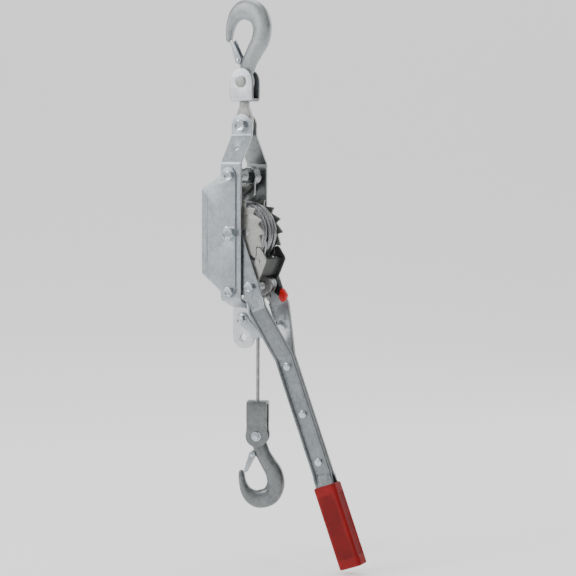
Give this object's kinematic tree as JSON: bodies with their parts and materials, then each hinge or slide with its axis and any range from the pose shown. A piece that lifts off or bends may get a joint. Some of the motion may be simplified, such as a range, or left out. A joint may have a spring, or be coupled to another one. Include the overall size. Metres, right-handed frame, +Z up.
{
  "type": "come along winch",
  "caption": "Hand ratchet cable puller: strap frame with swivel top hook, rope drum between saw-tooth wheels, lever handle with red grip, and a latched lower hook on wire rope.",
  "frame": {"origin": "seat of the top hook's bowl, where the hook hangs", "axes": "+Z up along the line of pull, +Y along the drum axle away from the guard side, +X towards the side the handle swings out on"},
  "size_m": [0.2249, 0.083, 0.71],
  "materials": {
    "zinc_sheet": "satin zinc plate",
    "forged_steel": "galvanised, dull",
    "dark_forged": "galvanised, dark",
    "bolt_zinc": "bright zinc",
    "dark_steel": "dark spring steel",
    "wheel_steel": "light zinc plate",
    "rope_steel": "galvanised wire rope",
    "red_grip": "moulded, woven texture",
    "red_cap": "dipped vinyl"
  },
  "bodies": {
    "hook_top": {"top_hook": "forged_steel", "top_latch_pin": "bolt_zinc", "top_latch_spring": "dark_steel"},
    "latch_top": {"top_latch": "zinc_sheet"},
    "clevis_top": {"top_clevis": "zinc_sheet", "top_hook_rivet": "bolt_zinc"},
    "stud": {"swivel_stud": "forged_steel"},
    "frame": {"near_side_plate": "zinc_sheet", "far_side_plate": "zinc_sheet", "drum_guard": "zinc_sheet", "far_guard": "zinc_sheet", "axle_bolt": "bolt_zinc", "axle_washers": "bolt_zinc", "upper_spacer_bolt": "bolt_zinc", "upper_spacer_tube": "dark_steel", "lower_spacer_bolt": "bolt_zinc", "lower_spacer_tube": "dark_steel", "ear_bolt": "bolt_zinc", "cable_guide": "zinc_sheet", "guide_bolt": "bolt_zinc", "holding_pawl_spring": "dark_steel", "pawl_return_spring": "dark_steel", "rope_span": "rope_steel"},
    "drum": {"drum_core": "dark_steel", "near_ratchet_wheel": "wheel_steel", "far_ratchet_wheel": "wheel_steel", "drum_rivets": "bolt_zinc", "rope_on_drum": "rope_steel"},
    "handle": {"handle_near_half": "zinc_sheet", "handle_far_half": "zinc_sheet", "handle_rivets": "bolt_zinc", "handle_grip": "red_grip", "drive_pawl_bolt": "bolt_zinc", "drive_pawl_spring": "dark_steel", "link_spring": "dark_steel", "link_anchor_pin": "bolt_zinc"},
    "drive_pawl": {"drive_pawl": "wheel_steel", "drive_pawl_sleeve": "dark_steel", "pawl_cross_pin": "bolt_zinc", "release_cap": "red_cap"},
    "holding_pawl": {"holding_pawl": "wheel_steel"},
    "rope_end": {"rope_lead": "rope_steel", "rope_ferrule": "bolt_zinc"},
    "lower_clevis": {"lower_clevis": "dark_forged", "lower_hook_pin": "bolt_zinc"},
    "hook_low": {"lower_hook": "dark_forged", "lower_latch_pin": "bolt_zinc", "lower_latch_spring": "dark_steel"},
    "latch_low": {"lower_latch": "zinc_sheet"}
  },
  "joints": [
    {"name": "top_latch", "type": "hinge", "parent": "hook_top", "child": "latch_top", "pos_m": [-0.007, 0, -0.05], "axis": [0, 1, 0], "range_deg": [0, 30], "stiffness_Nm_per_rad": 0.03, "springref_deg": -14.32},
    {"name": "top_hook_pivot", "type": "hinge", "parent": "hook_top", "child": "clevis_top", "pos_m": [0, 0, -0.077], "axis": [0, 1, 0], "range_deg": [-45, 45]},
    {"name": "top_swivel", "type": "hinge", "parent": "clevis_top", "child": "stud", "pos_m": [0, 0, -0.102], "axis": [0, 0, 1], "continuous": true},
    {"name": "frame_pivot", "type": "hinge", "parent": "stud", "child": "frame", "pos_m": [0, 0, -0.132], "axis": [0, 1, 0], "range_deg": [-70, 70]},
    {"name": "handle_swing", "type": "hinge", "parent": "frame", "child": "handle", "pos_m": [0, 0, -0.267], "axis": [0, -1, 0], "range_deg": [0, 100]},
    {"name": "drum_spin", "type": "hinge", "parent": "frame", "child": "drum", "pos_m": [0, 0, -0.267], "axis": [0, -1, 0], "range_deg": [0, 100.2]},
    {"name": "drive_pawl_lift", "type": "hinge", "parent": "handle", "child": "drive_pawl", "pos_m": [0.02639, 0, -0.33399], "axis": [0, 1, 0], "range_deg": [0, 11], "stiffness_Nm_per_rad": 0.1, "springref_deg": -17.19},
    {"name": "holding_pawl_lift", "type": "hinge", "parent": "frame", "child": "holding_pawl", "pos_m": [0, 0, -0.195], "axis": [0, 1, 0], "range_deg": [-6, 10], "stiffness_Nm_per_rad": 0.25},
    {"name": "hook_travel", "type": "slide", "parent": "frame", "child": "rope_end", "axis": [0, 0, 1], "range_m": [0, 0.0606], "deforming": ["rope_lead"]},
    {"name": "lower_swivel", "type": "hinge", "parent": "rope_end", "child": "lower_clevis", "pos_m": [0.021, 0, -0.484], "axis": [0, 0, 1], "continuous": true},
    {"name": "lower_hook_pivot", "type": "hinge", "parent": "lower_clevis", "child": "hook_low", "pos_m": [0.021, 0, -0.527], "axis": [-0.342, 0.9397, 0], "range_deg": [-45, 45]},
    {"name": "lower_latch", "type": "hinge", "parent": "hook_low", "child": "latch_low", "pos_m": [0.01495, -0.0022, -0.55184], "axis": [0.342, -0.9397, 0], "range_deg": [0, 30], "stiffness_Nm_per_rad": 0.03, "springref_deg": -14.32}
  ],
  "couplings": [
    {"joint": "drum_spin", "follows": "handle_swing", "ratio": 1},
    {"joint": "hook_travel", "follows": "handle_swing", "m_per_rad": 0.0346}
  ]
}
